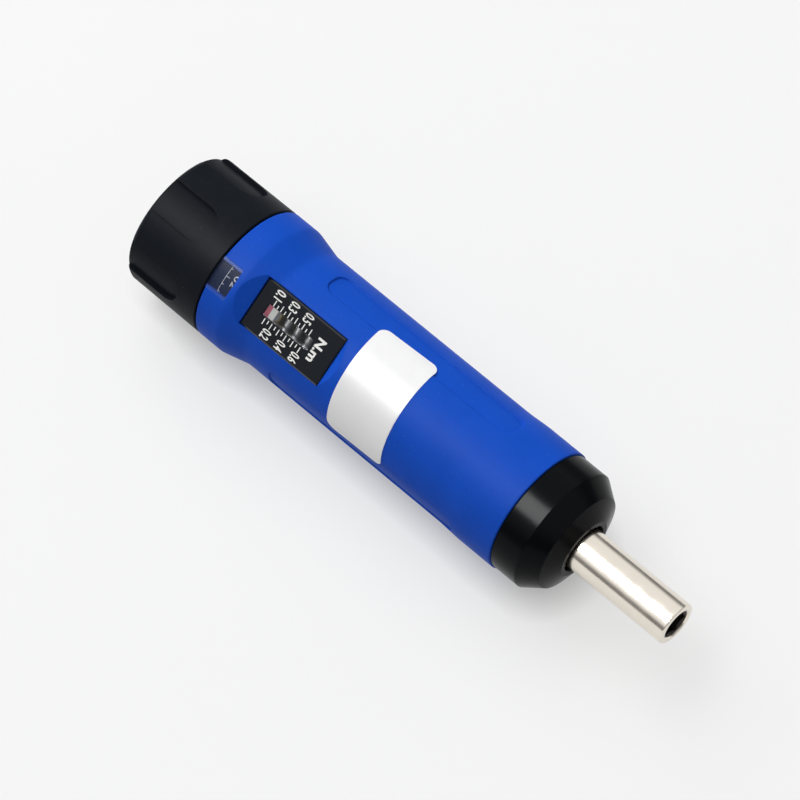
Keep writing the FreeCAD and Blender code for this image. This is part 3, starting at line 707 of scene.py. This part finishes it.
def table():
    """The pale table behind the tool, seen from above only.

    Part of its brightness is its own glow, so shadows stay faint; close to the tool the glow is dimmed as a
    painted contact shadow.
    """
    look = Finish("table", (0.27, 0.27, 0.27), 0.6, Specular_IOR_Level=0.1)
    look.colour(look.blend(look.noise(60.0, 3.0), (0.265, 0.265, 0.265), (0.275, 0.275, 0.275)))
    # Painted shadow: the table's own glow is turned down where the tool is near, as a contact shadow.
    near = look.nodes.new("ShaderNodeAmbientOcclusion")
    near.samples = 8
    near.inputs["Distance"].default_value = TABLE_PAINTED_SHADOW_MM * MM
    look.shader.inputs["Emission Color"].default_value = (1.0, 1.0, 1.0, 1)
    glow_with_painted_shadow = look.range(near.outputs["AO"], 0.0, 1.0, TABLE_GLOW_IN_PAINTED_SHADOW, TABLE_GLOW)
    look.feed(look.shader.inputs["Emission Strength"], glow_with_painted_shadow)
    output = look.nodes["Material Output"]
    clear = look.nodes.new("ShaderNodeBsdfTransparent")
    choose = look.nodes.new("ShaderNodeMixShader")
    geometry = look.nodes.new("ShaderNodeNewGeometry")
    look.links.new(geometry.outputs["Backfacing"], choose.inputs["Fac"])
    look.links.new(look.shader.outputs["BSDF"], choose.inputs[1])
    look.links.new(clear.outputs["BSDF"], choose.inputs[2])
    look.links.new(choose.outputs["Shader"], output.inputs["Surface"])

    rear = -TABLE_NORMAL * TABLE_REAR[1] * MM + Vector((0, 0, TABLE_REAR[0] * MM))
    front = -TABLE_NORMAL * TABLE_FRONT[1] * MM + Vector((0, 0, TABLE_FRONT[0] * MM))
    along = (front - rear).normalized()
    across = along.cross(TABLE_NORMAL).normalized()
    mesh = bpy.data.meshes.new("table")
    corners = [rear + along * a * TABLE_SIZE + across * b * TABLE_SIZE
               for a, b in ((-1, -1), (1, -1), (1, 1), (-1, 1))]
    mesh.from_pydata(corners, [], [(0, 1, 2, 3)])
    top = bpy.data.objects.new("table", mesh)
    if mesh.polygons[0].normal.dot(TABLE_NORMAL) < 0:
        mesh.flip_normals()
    scene.collection.objects.link(top)
    wear(top, look.material)
    top.visible_diffuse = False
    top.visible_transmission = False
    top.visible_shadow = False


SKY_LIGHT = 0.36
SKY_SEEN = 0.90
ROOM_LOW = (0.22, 0.22)         # sine of the height over the table, and the brightness there
ROOM_HIGH = (0.54, 1.0)


def sky():
    """Even light, a pale background where it is seen, and in gloss a room that is brighter overhead."""
    world = bpy.data.worlds.new("sky")
    world.use_nodes = True
    scene.world = world
    nodes, links = world.node_tree.nodes, world.node_tree.links
    background = nodes["Background"]
    background.inputs["Color"].default_value = (1.0, 1.0, 1.0, 1)
    path = nodes.new("ShaderNodeLightPath")

    place = nodes.new("ShaderNodeTexCoord")
    overhead = nodes.new("ShaderNodeVectorMath")
    overhead.operation = "DOT_PRODUCT"
    overhead.inputs[1].default_value = TABLE_NORMAL
    links.new(place.outputs["Generated"], overhead.inputs[0])
    room = nodes.new("ShaderNodeMapRange")
    room.interpolation_type = "SMOOTHSTEP"
    numbers = (ROOM_LOW[0], ROOM_HIGH[0], ROOM_LOW[1], ROOM_HIGH[1])
    for socket, number in zip(list(room.inputs)[1:5], numbers):
        socket.default_value = number
    links.new(overhead.outputs["Value"], room.inputs["Value"])

    def mix(factor, low, high):
        node = nodes.new("ShaderNodeMix")
        links.new(factor, node.inputs["Factor"])
        for socket, source in ((node.inputs["A"], low), (node.inputs["B"], high)):
            if isinstance(source, bpy.types.NodeSocket):
                links.new(source, socket)
            else:
                socket.default_value = source
        return node.outputs["Result"]

    level = mix(path.outputs["Is Glossy Ray"], SKY_LIGHT, room.outputs["Result"])
    level = mix(path.outputs["Is Transmission Ray"], level, SKY_SEEN)
    level = mix(path.outputs["Is Camera Ray"], level, SKY_SEEN)
    links.new(level, background.inputs["Strength"])


def seen_from_camera(right, up, towards):
    """A direction given by its parts to the right, up and towards the camera."""
    return (view_right * right + view_up * up + back * towards).normalized()


TOOL_CENTRE = Vector((0, 0, 0.08))


def softbox(name, direction, distance, width_deg, height_deg, level,
            across=None, glossy=True, diffuse=True):
    """An area light that faces the tool. Level is its brightness, the angles its size as the tool sees it."""
    data = bpy.data.lights.new(name, "AREA")
    data.shape = "RECTANGLE"
    data.size = 2 * distance * math.tan(math.radians(width_deg / 2))
    data.size_y = 2 * distance * math.tan(math.radians(height_deg / 2))
    data.energy = level * math.pi * data.size * data.size_y
    lamp = bpy.data.objects.new(name, data)
    side = across or Vector((0, 0, 1)).cross(direction)
    side = (side - direction * side.dot(direction)).normalized()
    lamp.matrix_world = Matrix.Translation(TOOL_CENTRE + direction * distance) @ Matrix(
        (side, direction.cross(side), direction)).transposed().to_4x4()
    lamp.visible_glossy = glossy
    lamp.visible_diffuse = diffuse
    scene.collection.objects.link(lamp)


table()
sky()
KEY = seen_from_camera(-0.50, 0.37, 0.78)
KEY_ACROSS = view_right * -0.32 - view_up * 0.39
KEY_DISTANCE = 1.6
KEY_DEG = (29, 17)
KEY_LEVEL = 6.0
KEY_GLINT_LEVEL = 27.0
softbox("key_glint", KEY, KEY_DISTANCE, *KEY_DEG, KEY_GLINT_LEVEL, across=KEY_ACROSS, diffuse=False)
softbox("key_light", KEY, KEY_DISTANCE, *KEY_DEG, KEY_LEVEL, across=KEY_ACROSS, glossy=False)
softbox("top_light", seen_from_camera(-0.41, 0.86, 0.29), 1.8, 50, 50, 3.7, glossy=False)
softbox("back_light", seen_from_camera(-0.2, -0.1, -1.0), 1.8, 50, 50, 1.0, glossy=False)
